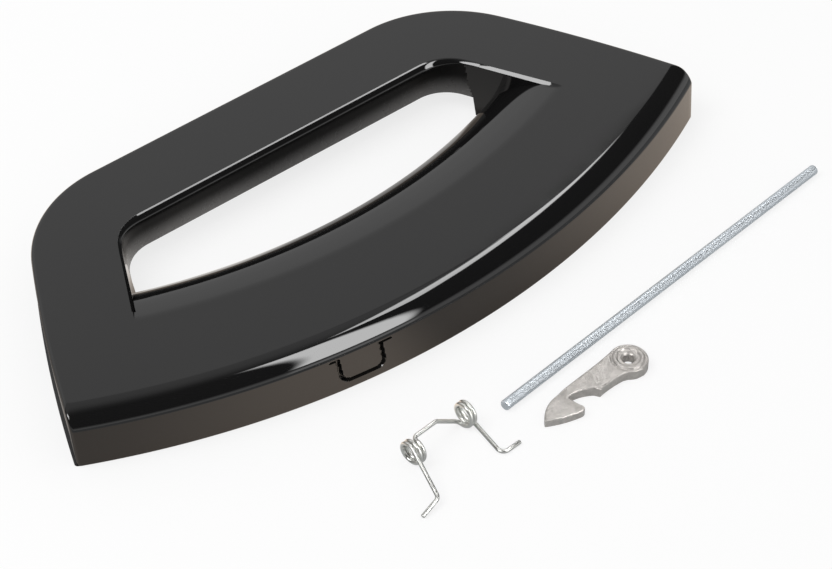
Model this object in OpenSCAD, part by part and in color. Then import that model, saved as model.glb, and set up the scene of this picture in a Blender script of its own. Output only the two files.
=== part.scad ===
// Door handle of a front-loading washing machine, with the pieces that hang it in the door:
// the moulded handle, its pivot pin, the catch hook and the double torsion spring.
// They lie beside each other on one plane, the handle face up. Millimetres, +Z up.
// The origin is the foot of the handle's front wall, in the handle's mirror plane.

/* [Handle outline] */
// Width across the two front corners
handle_w = 224; // [200:1:240]
// Depth from the line between the front corners to the straight back edge
handle_d = 77.4; // [74:0.1:84]
// Height of the top face above the rim
handle_h = 16.7; // [15.5:0.1:19]
// Radius of the front arc, which follows the door's rim
rim_r = 250; // [230:1:280]
// Lean of the two short sides towards the back, in degrees
side_lean = 26.8; // [22:0.1:29]
// Outward bulge of each short side
side_bulge = 1.9; // [1:0.1:3]
// Radius of the two back corners
back_corner_r = 39.2; // [32:0.1:42]
// Radius of the two front corners
front_corner_r = 1.2; // [0.8:0.1:2]
// Thickness of the moulded shell
wall_t = 2.6; // [2.2:0.1:3]

/* [Front band] */
// Height of the crease between the front wall and the rounded band
crease_h = 12.2; // [11.6:0.1:13.2]
// How far the front wall leans in from its foot to the crease
wall_lean = 0.9; // [0.5:0.1:1.4]
// Width of the wall and band together, from the rim to the flat top
band_w = 7.4; // [6.6:0.1:9]

/* [Finger hole] */
// Width of the grip bar, from the rim to the wall of the finger hole
grip_w = 50; // [46:0.5:52]
// Radius of the roll from the flat top into the finger hole
roll_r = 12; // [9:0.5:13]
// Width of the bar between the hole's straight side and the back edge
back_w = 22.9; // [21.5:0.1:24.5]
// Width of the hole along its straight side, up to its slanted sides
hole_w = 117; // [108:1:122]
// Radius of the hole's two corners at the top face
hole_corner_r = 13; // [10:0.5:16]
// Radius of the same corners at the rim plane
hole_foot_r = 12; // [9:0.5:15]
// Draft of the hole: how far its three straight walls come in at the rim plane
hole_draft = 3; // [2:0.1:3.5]
// Chamfer of the hole's edge at the top face
hole_chamfer = 0.7; // [0.4:0.1:1]
// Thickness of the skirt wall that stands round the hole
skirt_t = 1.8; // [1.4:0.1:2.2]
// Height of the skirt's lower edge along the straight side
skirt_lift = 5.6; // [4.5:0.1:6.5]
// Distance of the step in the skirt's foot from the hole's straight side
step_in = 13.4; // [12:0.1:16]
// Lean of the step towards the back, over its height
step_lean = 1.7; // [0.5:0.1:2]

/* [Ribs] */
// Thickness of the ribs
rib_t = 1.4; // [1:0.1:1.8]
// Angle between the ribs of the grip bar, about the centre of the rim
rib_step = 4.5; // [4:0.1:6]
// Number of ribs on each side of the mirror plane
rib_pairs = 5; // [3:1:5]
// Height of the ribs' lower edge above the rim plane
rib_lift = 8; // [6:0.1:10]

/* [Pivot] */
// Diameter of the pivot pin
pin_d = 3; // [2.5:0.1:3.5]
// Length of the pivot pin, which is also the distance over the outer ears
pin_l = 133; // [126:0.5:138]
// Chamfer at each end of the pin
pin_chamfer = 0.4; // [0.2:0.1:0.6]
// Running clearance on the radius between the pin and the ears
pin_clear = 0.05; // [0.03:0.01:0.08]
// Distance of the pin's axis from the straight back edge
pin_inset = 11.2; // [10.8:0.1:12]
// Height of the pin's axis above the rim plane
pin_h = 7; // [6.6:0.1:7.6]
// Radius of the ears round the pin
ear_r = 4.8; // [4.2:0.1:5.2]
// Thickness of an ear along the pin
ear_t = 5; // [4:0.1:6]
// Free room between the two inner ears for the hook and the spring
hook_bay = 30; // [28:0.5:36]
// Width of the slot in the end wall through which the pin is pushed in
slot_w = 4; // [3.8:0.1:4.6]

/* [Front tab] */
// Angle of the tab to the left of the mirror plane, about the centre of the rim
tab_angle = 8; // [6:0.5:12]
// Width of the tab between the middles of its grooves
tab_w = 13.5; // [11:0.5:16]
// Height of the tab's lower groove above the rim plane
tab_lift = 2.9; // [2:0.1:4]
// Width of the groove round the tab
groove_w = 0.8; // [0.5:0.1:1]
// Depth of the groove round the tab
groove_t = 0.6; // [0.4:0.1:0.9]
// Radius of the groove's two lower corners
groove_r = 2.2; // [1.6:0.1:3]
// Length of the short run outwards at the top of each leg of the groove
groove_run = 2.6; // [1.5:0.1:4]

/* [Catch hook] */
// Reach of the hook from its bore to its nose
hook_l = 32.8; // [30:0.2:36]
// Distance from the bore to the hook's straight back
hook_back = 5; // [4.4:0.1:5.4]
// Width of the arm
arm_w = 7.2; // [6.4:0.1:8]
// Distance from the nose to the wall of the notch
barb_l = 10.9; // [9:0.1:12]
// Distance from the bore to the tip of the barb, across the hook
barb_drop = 4; // [3.4:0.1:4.6]
// Width of the notch that catches the lock
notch_w = 7.4; // [6:0.1:9]
// Depth of the notch, from the tip of the barb
notch_t = 6; // [5:0.1:6.4]
// Thickness of the hook's arm
hook_t = 3; // [2.6:0.1:3.4]
// Thickness of the hook's nose
nose_t = 2.4; // [2:0.1:2.6]
// Radius of the boss round the bore
boss_r = 5.5; // [5:0.1:6]
// Height of the boss ring above the arm
boss_rise = 0.4; // [0.2:0.1:0.6]
// Room between the boss and the ribs above it
boss_gap = 0.6; // [0.4:0.1:0.9]
// Width of the raised ring round the bore
ring_w = 1; // [0.8:0.1:1.4]
// Clearance on the radius between the hook's bore and the pin
hook_clear = 0.1; // [0.05:0.01:0.2]

/* [Catch spring] */
// Diameter of the spring wire
wire_d = 1.2; // [1:0.05:1.4]
// Room on the radius between the pin and the inside of the coils
coil_room = 1.05; // [0.8:0.05:1.2]
// Distance between the inner ends of the two coils
coil_gap = 17; // [16:0.1:18]
// Full turns in each coil
coil_turns = 2; // [2:1:3]
// Length of each leg from the coils' axis to its foot
leg_l = 15; // [13:0.5:17]
// Length of each foot
foot_l = 6.6; // [5:0.2:8]

/* [Hidden] */
$fn = 96;
over = 1;
shell_color = "#2b2a2a";
steel_color = "#a9b0b5";
zinc_color = "#b5afa9";
wire_color = "#8f8f8a";

// Places of the loose pieces on the plane, measured from the middle of the front corner line
pin_pos = [54.3, -49];
pin_turn = 6.2;
hook_pos = [24.9, -65.2];
hook_turn = 186;
spring_pos = [-32.7, -54.2];
spring_turn = 5;

// Circles of the outline: the rim's centre, and the centre of the right-hand side's bulge
rim_y = sqrt(pow(rim_r, 2) - pow(handle_w / 2, 2));
origin_y = rim_r - rim_y - wall_t / 2;
side_l = handle_d / cos(side_lean);
side_r = pow(side_l, 2) / (8 * side_bulge) + side_bulge / 2;
side_mid = [handle_w / 2 - side_l / 2 * sin(side_lean), side_l / 2 * cos(side_lean)];
side_c = side_mid - (side_r - side_bulge) * [cos(side_lean), sin(side_lean)];

// Centre of a circle of radius r that touches the right-hand side and the back edge
function back_center(r) = [side_c[0] + sqrt(pow(side_r - r, 2) - pow(handle_d - r - side_c[1], 2)), handle_d - r];

// Centre of a circle of radius r that touches the right-hand side and the rim
function front_center(r) =
    let (
        to_rim = [0, rim_y] - side_c,
        gap = norm(to_rim),
        along = (pow(gap, 2) + pow(side_r - r, 2) - pow(rim_r - r, 2)) / (2 * gap),
        across = sqrt(pow(side_r - r, 2) - pow(along, 2)),
        unit = to_rim / gap
    )
    side_c + along * unit + across * [unit[1], -unit[0]];

// Band: radius of its round-over, which crosses the leaning wall at the crease, and the flat top's radius
band_r = (pow(band_w - wall_lean, 2) + pow(handle_h - crease_h, 2)) / (2 * (handle_h - crease_h));
flat_r = rim_r - band_w;
hole_r = rim_r - grip_w;
hole_d = handle_d - back_w;
deep = hole_r - handle_d;
// The roll ends this little below the flat top, so that the two never share a skin
roll_gap = 0.05;

// Pin
pin_y = handle_d - pin_inset;
bore_r = pin_d / 2 + pin_clear;

// Hook: radius of the nose's back, height of its tip, and the middle of that radius
nose_r = 11.2;
nose_v = -0.7;
nose_c = [hook_l - sqrt(pow(nose_r, 2) - pow(nose_r - hook_back - nose_v, 2)), nose_r - hook_back];
// Hook: wall, floor and far end of the notch, the belly's height, and the radius in the notch's corner
barb_u = hook_l - barb_l;
floor_v = barb_drop - notch_t;
notch_u = barb_u - notch_w;
belly_v = arm_w - hook_back;
notch_r = 1.3;
barb_lean = 0.4;
barb_flat = 0.9;
belly_r = 3;
bore_break = 0.7;

// Spring: radius and height of the wire's centre line in a coil, and the step from turn to turn
coil_r = pin_d / 2 + coil_room + wire_d / 2;
coil_z = coil_r + wire_d / 2;
coil_step = wire_d + 0.06;
coil_l = coil_step * coil_turns;
bend_r = 1.2 * wire_d;
foot_bend_r = 1.5 * wire_d;
leg_fall = 18.7;
leg_lean = [4.4, 2.8];
foot_skew = [0.8, 0.2];
wire_sides = 10;

// What is left of a corner outside the circle that rounds it
module corner_waste(center, r, from, tip, to) {
    difference() {
        polygon([center, center + 1.2 * (from - center), center + 1.6 * (tip - center), center + 1.2 * (to - center)]);
        translate(center) circle(r);
    }
}

// Plan outline of the handle, inset by e
module plan(e) {
    back = back_center(back_corner_r);
    back_on_side = side_c + (back - side_c) * side_r / (side_r - back_corner_r);
    back_tip_x = side_c[0] + sqrt(pow(side_r, 2) - pow(handle_d - side_c[1], 2));
    front = front_center(front_corner_r);
    front_on_side = side_c + (front - side_c) * side_r / (side_r - front_corner_r);
    front_on_rim = [0, rim_y] + (front - [0, rim_y]) * rim_r / (rim_r - front_corner_r);
    difference() {
        intersection() {
            translate([0, rim_y]) circle(rim_r - e);
            translate([-handle_w, -handle_w + handle_d - e]) square([2 * handle_w, handle_w]);
            translate(side_c) circle(side_r - e);
            mirror([1, 0]) translate(side_c) circle(side_r - e);
        }
        for (flip = [0, 1]) {
            mirror([flip, 0])
                corner_waste(back, back_corner_r - e, [back[0], handle_d], [back_tip_x, handle_d], back_on_side);
            if (front_corner_r > e) {
                mirror([flip, 0])
                    corner_waste(front, front_corner_r - e, front_on_side, [handle_w / 2, 0], front_on_rim);
            }
        }
    }
}

// Section of the shell through the rim's centre, inset by e, down to the height low
module section(e, low) {
    difference() {
        polygon([
            [0, low],
            [rim_r - e, low],
            if (low < 0) [rim_r - e, 0],
            [rim_r - e - wall_lean * (handle_h - e) / crease_h, handle_h - e],
            [0, handle_h - e]
        ]);
        translate([flat_r, handle_h - band_r]) difference() {
            square(band_r + over);
            circle(band_r - e);
        }
    }
}

// Solid inside the shell's skin, inset by e
module body_solid(e, low) {
    intersection() {
        translate([0, 0, -over]) linear_extrude(handle_h + 2 * over) plan(e);
        translate([0, rim_y, 0]) rotate_extrude() section(e, low);
    }
}

// One level of the hole's loft at height z: walls moved in by inset, corners of radius r, all grown by e
module hole_level(z, inset, r, e) {
    x = hole_w / 2 - inset * tan((90 - side_lean) / 2);
    y = hole_d - inset;
    run = r * tan((90 - side_lean) / 2);
    reach = (y + 2 * wall_t) / cos(side_lean);
    for (side = [-1, 1]) {
        translate([side * (x - run), y - r, z]) cylinder(r = r + e, h = over, $fn = 64);
        translate([side * (x - run + reach * sin(side_lean)), y - r - reach * cos(side_lean), z])
            cylinder(r = r + e, h = over, $fn = 64);
    }
}

// Volume of the finger hole, grown outwards by e
module finger_hole(e) {
    intersection() {
        hull() {
            hole_level(handle_h, 0, hole_corner_r, e);
            hole_level(-over, hole_draft, hole_foot_r, e);
        }
        translate([0, rim_y, 0]) rotate_extrude() roll_section(e);
    }
}

// Section of the hole beside the grip bar: a straight wall, then the roll up to the flat top
module roll_section(e) {
    roll_z = handle_h - roll_r + roll_gap;
    difference() {
        translate([deep, -2 * over]) square([hole_r + roll_r - deep, handle_h + 4 * over]);
        translate([hole_r + roll_r, roll_z]) circle(roll_r - e);
        translate([hole_r + e, -3 * over]) square([grip_w, roll_z + 3 * over]);
    }
}

// Chamfer round the three straight edges of the hole, which starts a little inside the walls
module hole_bevel() {
    intersection() {
        hull() {
            hole_level(handle_h - hole_chamfer - over, 2 * hole_draft * hole_chamfer / handle_h, hole_corner_r, 0);
            hole_level(handle_h, 0, hole_corner_r, hole_chamfer);
        }
        translate([0, rim_y, 0]) cylinder(r = hole_r + roll_r, h = handle_h + 3 * over);
    }
}

// Room under the skirt along the hole's straight side and round its two corners, behind the leaning step
module skirt_relief() {
    slope = step_lean / skirt_lift;
    translate([-handle_w / 2, hole_d - step_in, 0]) rotate([90, 0, 90]) linear_extrude(handle_w)
        polygon([[-over * slope, -over], [step_lean, skirt_lift], [handle_d, skirt_lift], [handle_d, -over]]);
}

// Ear round the pin, seen along it and joined to the top
module ear(x) {
    translate([x, pin_y, pin_h]) rotate([90, 0, 90]) linear_extrude(ear_t) {
        circle(ear_r);
        translate([-ear_r, 0]) square([2 * ear_r, handle_h - pin_h - wall_t / 2]);
    }
}

// Radial ribs of the grip bar, and shallow cross ribs over the pin's channel
module ribs() {
    for (i = [-rib_pairs:rib_pairs]) {
        translate([0, rim_y, 0]) rotate([0, 0, i * rib_step])
            translate([-rib_t / 2, -rim_r, rib_lift]) cube([rib_t, rim_r - deep, handle_h]);
    }
}

// Channel along the pin, in which the ribs stay clear of the hook's boss
module pin_channel() {
    translate([-handle_w / 2, hole_d - over, -over]) cube([handle_w, handle_d, pin_h + boss_r + boss_gap + over]);
}

// Slot in the right-hand end wall, open below, through which the pin goes in
module pin_slot() {
    translate([pin_l / 2 + over, pin_y, pin_h]) rotate([90, 0, 90]) linear_extrude(handle_w / 2) {
        circle(d = slot_w);
        translate([-slot_w / 2, -pin_h - over]) square([slot_w, pin_h + over]);
    }
}

// Outline of the tab, open at the top, w wide and with its corners rounded
module tab_outline(w, r, h) {
    translate([-w / 2, r]) square([w, h - r]);
    translate([-w / 2 + r, 0]) square([w - 2 * r, h]);
    for (side = [-1, 1]) {
        translate([side * (w / 2 - r), r]) circle(r);
    }
}

// Groove round the tab in the front wall, with a short run outwards at the top of each leg
module tab_groove() {
    groove_top = crease_h - groove_w / 2;
    tab_h = crease_h - tab_lift;
    intersection() {
        translate([0, rim_y, 0]) rotate_extrude()
            polygon([
                [rim_r - groove_t, 0],
                [rim_r - groove_t - wall_lean * groove_top / crease_h, groove_top],
                [rim_r + over, groove_top],
                [rim_r + over, 0]
            ]);
        translate([0, rim_y, tab_lift - groove_w / 2]) rotate([90, 0, -tab_angle])
            linear_extrude(rim_r + 2 * over) difference() {
                union() {
                    tab_outline(tab_w + groove_w, groove_r + groove_w / 2, tab_h);
                    translate([-tab_w / 2 - groove_run, tab_h - 1.5 * groove_w])
                        square([tab_w + 2 * groove_run, groove_w]);
                }
                translate([0, groove_w]) tab_outline(tab_w - groove_w, groove_r - groove_w / 2, tab_h);
            }
    }
}

module handle() {
    color(shell_color) translate([0, origin_y, 0]) difference() {
        union() {
            difference() {
                body_solid(0, 0);
                body_solid(wall_t, -over);
            }
            intersection() {
                body_solid(wall_t / 2, 0);
                union() {
                    difference() {
                        finger_hole(skirt_t);
                        skirt_relief();
                    }
                    difference() {
                        ribs();
                        pin_channel();
                    }
                    for (side = [-1, 1]) {
                        ear(side * (hook_bay / 2 + ear_t / 2) - ear_t / 2);
                        ear(side * (pin_l / 2 - ear_t / 2) - ear_t / 2);
                    }
                }
            }
        }
        finger_hole(0);
        hole_bevel();
        translate([0, pin_y, pin_h]) rotate([0, 90, 0]) cylinder(r = bore_r, h = pin_l + 2 * over, center = true);
        pin_slot();
        tab_groove();
    }
}

module pivot_pin() {
    color(steel_color) translate([pin_pos[0], pin_pos[1] + origin_y, pin_d / 2]) rotate([0, 90, pin_turn]) {
        cylinder(d = pin_d, h = pin_l - 2 * pin_chamfer, center = true);
        for (end = [0, 1]) {
            mirror([0, 0, end]) translate([0, 0, pin_l / 2 - pin_chamfer])
                cylinder(d1 = pin_d, d2 = pin_d - 2 * pin_chamfer, h = pin_chamfer);
        }
    }
}

// Outline of the hook: bore at the origin, nose towards +X, barb and notch towards +Y
module hook_outline() {
    circle(boss_r);
    difference() {
        polygon([
            [0, -hook_back],
            [nose_c[0], -hook_back],
            [nose_c[0], barb_drop],
            [barb_u + barb_flat, barb_drop],
            [barb_u - barb_lean, barb_drop - barb_flat],
            [barb_u, floor_v],
            [barb_u - notch_w / 2, floor_v],
            [notch_u, belly_v - belly_r / 2],
            [notch_u - belly_r, belly_v],
            [boss_r, belly_v],
            [boss_r * cos(45), boss_r * sin(45)],
            [0, boss_r]
        ]);
        translate([barb_u - notch_r, floor_v + notch_r * 0.7]) circle(notch_r);
    }
    intersection() {
        translate(nose_c) circle(nose_r);
        polygon([
            [nose_c[0] - over, -hook_back - over],
            [hook_l + over, -hook_back - over],
            [hook_l + over, nose_v],
            [hook_l, nose_v],
            [nose_c[0], barb_drop],
            [nose_c[0] - over, barb_drop]
        ]);
    }
}

module catch_hook() {
    hook_bore_r = pin_d / 2 + hook_clear;
    ring_r = hook_bore_r + bore_break + 2 * ring_w;
    color(zinc_color) translate([hook_pos[0], hook_pos[1] + origin_y, 0]) rotate([0, 0, hook_turn]) difference() {
        union() {
            linear_extrude(nose_t) hook_outline();
            linear_extrude(hook_t) intersection() {
                hook_outline();
                translate([-boss_r - over, -hook_l]) square([boss_r + 2 * over + barb_u, 2 * hook_l]);
            }
            cylinder(r = ring_r, h = hook_t + boss_rise);
        }
        translate([0, 0, hook_t]) cylinder(r = ring_r - ring_w, h = over);
        translate([0, 0, -over]) cylinder(r = hook_bore_r, h = hook_t + 2 * over);
        translate([0, 0, hook_t - bore_break]) cylinder(r1 = hook_bore_r, r2 = hook_bore_r + bore_break, h = bore_break);
    }
}

function unit(v) = v / norm(v);

// Arc of radius r in n steps that rounds the corner at b on the way from a to c
function bend(a, b, c, r, n) =
    let (
        d1 = unit(b - a),
        d2 = unit(c - b),
        turn = acos(d1 * d2),
        side = unit(d2 - (d1 * d2) * d1),
        start = b - r * tan(turn / 2) * d1
    )
    [for (i = [0:n]) start + r * (sin(turn * i / n) * d1 + (1 - cos(turn * i / n)) * side)];

// Centre line of a coil that starts at x and at the given angle, and turns through sweep degrees
function coil(x, angle, sweep) =
    let (n = round(sweep / 15))
    [for (i = [0:n])
        let (a = angle - sweep * i / n)
        [x + coil_step * sweep / 360 * i / n, coil_r * cos(a), coil_z + coil_r * sin(a)]];

// Centre line of the whole spring, from the near foot to the far foot
function spring_path() =
    let (
        low = wire_d / 2,
        top = coil_z + coil_r,
        sweep = 360 * coil_turns,
        near_x = -coil_gap / 2 - coil_step * (sweep + leg_fall) / 360,
        near_start = [near_x, -coil_r * sin(leg_fall), coil_z + coil_r * cos(leg_fall)],
        near_z = near_start[2] - (leg_l + near_start[1]) * tan(leg_fall),
        near_corner = [near_x - leg_lean[0], -leg_l, near_z],
        near_foot = [near_corner[0] - foot_l, -leg_l - foot_skew[0], low],
        exit = [-coil_gap / 2, bend_r, top],
        crest = [0, bend_r, top],
        elbow = [coil_gap / 2, bend_r, low],
        far_x = coil_gap / 2 + coil_l,
        far_exit = [far_x, -2.2 * wire_d, low],
        far_corner = [far_x - leg_lean[1], -leg_l, low],
        far_foot = [far_corner[0] + foot_l, -leg_l - foot_skew[1], low]
    )
    concat(
        [near_foot],
        bend(near_foot, near_corner, near_start, foot_bend_r, 6),
        coil(near_x, 90 + leg_fall, sweep + leg_fall),
        [for (p = bend([exit[0], 0, top], exit, crest, bend_r, 6)) if (p[1] > 0.01) p],
        bend(exit, crest, elbow, foot_bend_r, 4),
        [for (p = bend(crest, elbow, [elbow[0], 0, low], bend_r, 6)) if (p[1] > 0.01) p],
        coil(elbow[0], -90, sweep),
        bend([far_x, 0, low], far_exit, far_corner, foot_bend_r, 2),
        bend(far_exit, far_corner, far_foot, foot_bend_r, 6),
        [far_foot]
    );

// Directions along a path, and a direction across it at each point that doesn't twist
function path_along(path) =
    let (last = len(path) - 1)
    [for (i = [0:last]) unit(path[min(i + 1, last)] - path[max(i - 1, 0)])];
function path_across(along) =
    [for (i = 0, n = unit(cross(along[0], [0, 0, 1]));
          i < len(along);
          i = i + 1, n = i < len(along) ? unit(n - (n * along[i]) * along[i]) : n) n];

// Round wire of diameter d that follows a path
module wire(path, d) {
    along = path_along(path);
    across = path_across(along);
    rings = len(path);
    points = [for (i = [0:rings - 1], k = [0:wire_sides - 1])
        let (a = 360 * k / wire_sides)
        path[i] + d / 2 * (cos(a) * across[i] + sin(a) * cross(along[i], across[i]))];
    skin = [for (i = [0:rings - 2], k = [0:wire_sides - 1])
        let (
            next = (k + 1) % wire_sides,
            a = i * wire_sides,
            b = a + wire_sides
        )
        each [[a + k, b + next, a + next], [a + k, b + k, b + next]]];
    start_cap = [for (k = [0:wire_sides - 1]) k];
    end_cap = [for (k = [wire_sides - 1:-1:0]) (rings - 1) * wire_sides + k];
    polyhedron(points = points, faces = concat([start_cap], skin, [end_cap]), convexity = 6);
}

module catch_spring() {
    color(wire_color) translate([spring_pos[0], spring_pos[1] + origin_y, 0]) rotate([0, 0, spring_turn])
        wire(spring_path(), wire_d);
}

handle();
pivot_pin();
catch_hook();
catch_spring();
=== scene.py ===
from math import acos, asin, atan2, cos, degrees, hypot, pi, radians, sin, sqrt, tan

import bmesh
import bpy
from mathutils import Matrix, Vector


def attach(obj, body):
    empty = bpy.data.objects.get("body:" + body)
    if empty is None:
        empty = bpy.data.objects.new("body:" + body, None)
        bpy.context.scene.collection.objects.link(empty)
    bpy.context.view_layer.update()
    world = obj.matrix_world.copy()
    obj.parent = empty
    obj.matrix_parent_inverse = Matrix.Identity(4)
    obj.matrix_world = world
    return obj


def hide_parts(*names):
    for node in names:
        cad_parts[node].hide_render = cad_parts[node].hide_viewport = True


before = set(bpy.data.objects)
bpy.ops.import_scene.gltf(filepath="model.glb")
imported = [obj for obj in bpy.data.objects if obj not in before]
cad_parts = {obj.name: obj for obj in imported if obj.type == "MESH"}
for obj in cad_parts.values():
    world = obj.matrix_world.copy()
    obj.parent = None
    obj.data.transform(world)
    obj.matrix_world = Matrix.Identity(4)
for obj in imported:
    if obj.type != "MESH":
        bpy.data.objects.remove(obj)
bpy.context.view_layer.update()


# The handle's moulding: one gloss black part, open below. Its front arc follows the door's rim,
# with a leaning wall, a crease and a rounded band up to the flat top. The finger hole has a rolled
# edge towards the grip bar and a small fillet on its other edges, and a skirt wall hangs round it.
top_z = 16.7
rim_r = 250.0
wall_t = 2.6
rim_c = Vector((0.0, rim_r - wall_t / 2))
corner_line_y = rim_c.y - sqrt(rim_r ** 2 - 112.0 ** 2)
depth = 77.4
lean = radians(26.8)
bulge = 1.9
side_chord = depth / cos(lean)
side_r = side_chord ** 2 / (8 * bulge) + bulge / 2
side_mid = Vector((112.0 - side_chord / 2 * sin(lean), corner_line_y + side_chord / 2 * cos(lean)))
side_c = side_mid - (side_r - bulge) * Vector((cos(lean), sin(lean)))
back_y = corner_line_y + depth
back_corner_r = 39.2
back_c = Vector((side_c.x + sqrt((side_r - back_corner_r) ** 2 - (back_y - back_corner_r - side_c.y) ** 2),
                 back_y - back_corner_r))
crease_z = 12.2
wall_lean = 0.9
flat_r = 242.6
band_r = ((7.4 - wall_lean) ** 2 + (top_z - crease_z) ** 2) / (2 * (top_z - crease_z))
band_z = top_z - band_r


def right_meeting(c0, r0, c1, r1):
    """Of the two points where the circles meet, the one further to the right."""
    unit = (c1 - c0).normalized()
    gap = (c1 - c0).length
    along = (gap * gap + r0 * r0 - r1 * r1) / (2 * gap)
    across = sqrt(r0 * r0 - along * along)
    middle = c0 + along * unit
    turned = Vector((unit.y, -unit.x))
    return max(middle + across * turned, middle - across * turned, key=lambda p: p.x)


def arc(center, r, start, end, steps):
    """Points on an arc, without the first one."""
    turns = [start + (end - start) * i / steps for i in range(1, steps + 1)]
    return [center + r * Vector((cos(t), sin(t))) for t in turns]


def mirrored(points):
    return [Vector((-p.x, p.y)) for p in reversed(points)]


arc_turns = [-26.5 + 15.9 * i / 30 for i in range(30)] + [-10.6 + 5.2 * i / 80 for i in range(80)]
arc_turns += [-5.4 + 31.9 * i / 60 for i in range(61)]


def outline(front_in, side_in, corner_r):
    """Closed loop round the handle, inset by front_in along the front arc and by side_in on the other sides."""
    r = rim_r - front_in
    corner = right_meeting(side_c, side_r - side_in - corner_r, rim_c, r - corner_r)
    reach = atan2(corner.x, rim_c.y - corner.y)
    front = [rim_c + r * Vector((sin(reach * t / 26.5), -cos(reach * t / 26.5))) for t in arc_turns]
    to_side, to_back, from_rim = corner - side_c, back_c - side_c, corner - rim_c
    side_start = atan2(to_side.y, to_side.x)
    side_end = atan2(to_back.y, to_back.x)
    right = arc(corner, corner_r, atan2(from_rim.y, from_rim.x), side_start, 6)
    right += arc(side_c, side_r - side_in, side_start, side_end, 24)
    right += arc(back_c, back_corner_r - side_in, side_end, pi / 2, 28)
    right += [Vector((back_c.x * (1 - i / 10), back_y - side_in)) for i in range(1, 10)]
    return front + right + [Vector((0.0, back_y - side_in))] + mirrored(right)


hole_y = corner_line_y + 54.5
hole_half_w = 58.5
hole_draft = 3.0
hole_top_r = 13.0
hole_foot_r = 12.0
roll_c = Vector((0.0, 238.1))
roll_r, roll_w, roll_h = 207.8, 26.0, 25.0
step_y = hole_y - 13.4
step_lean = 1.7
skirt_z = 5.6
skirt_t = 1.8
roll_steps, flank_steps, corner_steps, straight_steps = 90, 16, 30, 16


def evenly(points, steps):
    """Points at even distances along a path, both ends included."""
    lengths = [0.0]
    for a, b in zip(points, points[1:]):
        lengths.append(lengths[-1] + (b - a).length)
    out, i = [points[0].copy()], 0
    for k in range(1, steps):
        goal = lengths[-1] * k / steps
        while lengths[i + 1] < goal:
            i += 1
        out.append(points[i].lerp(points[i + 1], (goal - lengths[i]) / (lengths[i + 1] - lengths[i])))
    return out + [points[-1].copy()]


def first_crossing(points, test):
    """Cuts a path where test turns true: the path before, the crossing and the path after it."""
    i = next(k for k, p in enumerate(points) if test(p))
    low, high = 0.0, 1.0
    for _ in range(40):
        middle = (low + high) / 2
        if test(points[i - 1].lerp(points[i], middle)):
            high = middle
        else:
            low = middle
    meet = points[i - 1].lerp(points[i], high)
    return points[:i] + [meet], [meet] + points[i:]


def hole_loop(z, grow, wall_r):
    """Closed loop round the finger hole at height z: the grip bar's arc, flank, corner, straight side and back again."""
    t = z / top_z
    inset = hole_draft * (1 - t)
    r = hole_foot_r + (hole_top_r - hole_foot_r) * t
    center = Vector((hole_half_w - (inset + r) * tan((pi / 2 - lean) / 2), hole_y - inset - r))
    across, down = Vector((cos(lean), sin(lean))), Vector((sin(lean), -cos(lean)))
    path = [center + (r + grow) * across + down * (60 - i) for i in range(61)]
    path += arc(center, r + grow, lean, pi / 2, 60)
    path = first_crossing(path, lambda p: (p - roll_c).length < wall_r)[1]
    step_here = step_y + step_lean * min(z / skirt_z, 1.0)
    flank, corner = first_crossing(path, lambda p: p.y > step_here)
    right = evenly(flank, flank_steps)[1:] + evenly(corner, corner_steps)[1:]
    right += [Vector((center.x * (1 - i / straight_steps), center.y + r + grow)) for i in range(1, straight_steps)]
    reach = atan2(flank[0].x, roll_c.y - flank[0].y)
    turns = [reach * (2 * i / roll_steps - 1) for i in range(roll_steps + 1)]
    roll = [roll_c + wall_r * Vector((sin(a), -cos(a))) for a in turns]
    return roll + right + [Vector((0.0, center.y + r + grow))] + mirrored(right)


def ring(bm, points, z):
    """A closed loop of edges."""
    verts = [bm.verts.new((p.x, p.y, z)) for p in points]
    for a, b in zip(verts, verts[1:] + verts[:1]):
        bm.edges.new((a, b))
    return verts


def edges_along(bm, verts, closed=True):
    return [bm.edges.get(pair) for pair in zip(verts, verts[1:] + (verts[:1] if closed else []))]


def loft(bm, verts, points, z=None, closed=True, finish=0):
    """Extrudes a loop or chain of edges and sets the new one on the points, at level z if it's given."""
    place = {v: i for i, v in enumerate(verts)}
    made = bmesh.ops.extrude_edge_only(bm, edges=edges_along(bm, verts, closed))["geom"]
    for face in (g for g in made if isinstance(g, bmesh.types.BMFace)):
        face.material_index = finish
    new = [None] * len(verts)
    for v in (g for g in made if isinstance(g, bmesh.types.BMVert)):
        old = next(e.other_vert(v) for e in v.link_edges if e.other_vert(v) in place)
        i = place[old]
        v.co = (points[i].x, points[i].y, points[i].z if z is None else z)
        new[i] = v
    return new


def changed(bm, kind, **settings):
    """The mesh as a modifier of this kind leaves it."""
    mesh = bpy.data.meshes.new("work")
    bm.to_mesh(mesh)
    bm.free()
    holder = bpy.data.objects.new("work", mesh)
    bpy.context.collection.objects.link(holder)
    modifier = holder.modifiers.new(kind, kind)
    for key, value in settings.items():
        setattr(modifier, key, value)
    bpy.context.view_layer.update()
    out = bmesh.new()
    out.from_mesh(holder.evaluated_get(bpy.context.evaluated_depsgraph_get()).to_mesh())
    bpy.data.objects.remove(holder)
    return out


def cut(bm, tool):
    """The mesh less the volume of another one."""
    mesh = bpy.data.meshes.new("tool")
    tool.to_mesh(mesh)
    tool.free()
    holder = bpy.data.objects.new("tool", mesh)
    bpy.context.collection.objects.link(holder)
    out = changed(bm, "BOOLEAN", operation="DIFFERENCE", solver="EXACT", object=holder)
    bpy.data.objects.remove(holder)
    return out


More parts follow.
